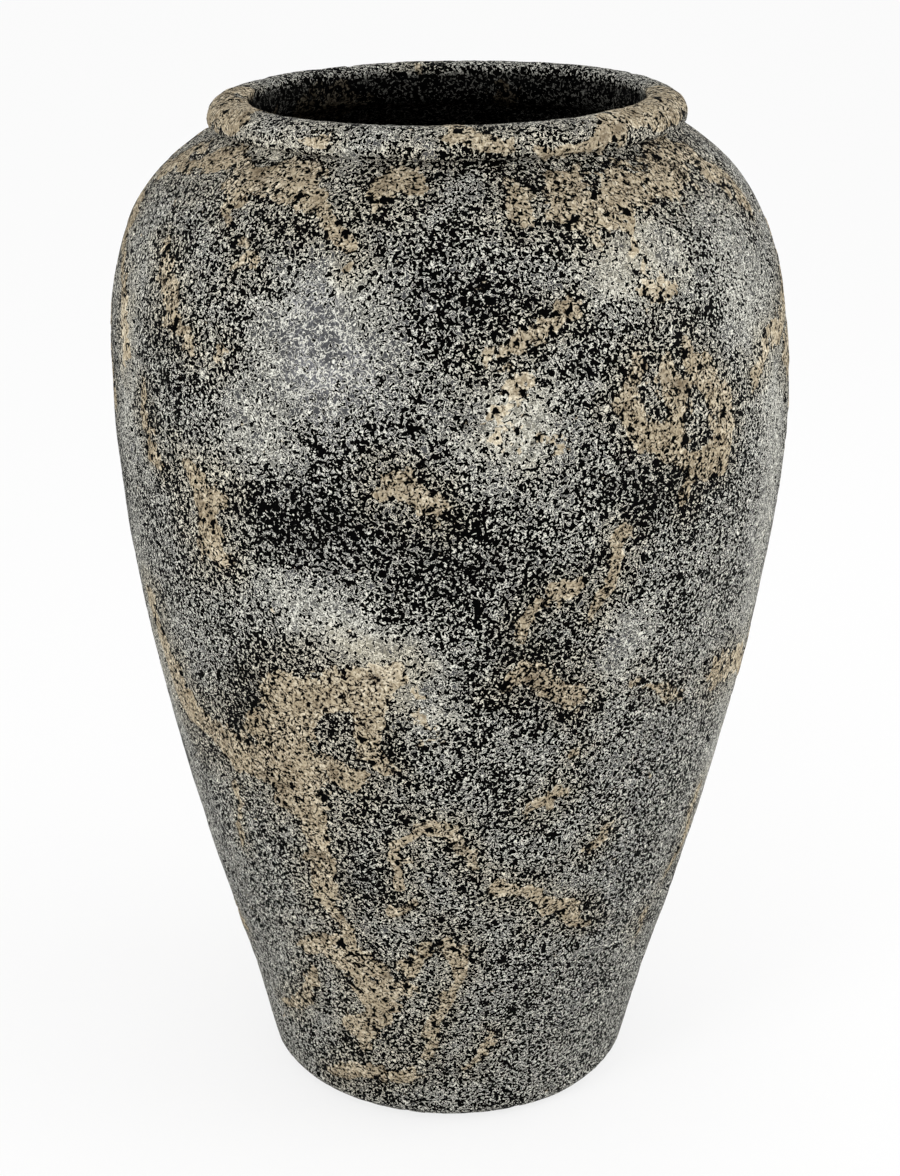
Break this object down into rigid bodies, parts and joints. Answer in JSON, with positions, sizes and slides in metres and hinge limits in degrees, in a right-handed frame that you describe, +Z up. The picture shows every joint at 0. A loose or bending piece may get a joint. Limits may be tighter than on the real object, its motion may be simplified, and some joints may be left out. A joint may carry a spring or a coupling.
{
  "type": "planter jar",
  "caption": "Tall jar-shaped planter of weathered clay with a round belly, a narrow foot, a rolled rim and a stoppered drain hole.",
  "frame": {"origin": "middle of the foot at ground level", "axes": "+Z up along the jar's axis, from the foot to the mouth; -Y is the side that the picture shows"},
  "size_m": [0.362, 0.362, 0.56],
  "materials": {
    "foot_clay": "rough dark fired clay",
    "wall_clay": "grey and tan mottled clay with black crackle and pits",
    "rim_clay": "grey-tan mottled clay, worn smooth",
    "stopper_rubber": "matt black rubber"
  },
  "bodies": {
    "jar": {"foot_ring": "foot_clay", "floor_disc": "foot_clay", "lower_wall": "wall_clay", "middle_wall": "wall_clay", "shoulder_wall": "wall_clay", "rolled_rim": "rim_clay"},
    "stopper": {"drain_stopper": "stopper_rubber"}
  },
  "joints": [
    {"name": "stopper_lift", "type": "slide", "parent": "jar", "child": "stopper", "axis": [0, 0, 1], "range_m": [0, 0.04]}
  ]
}
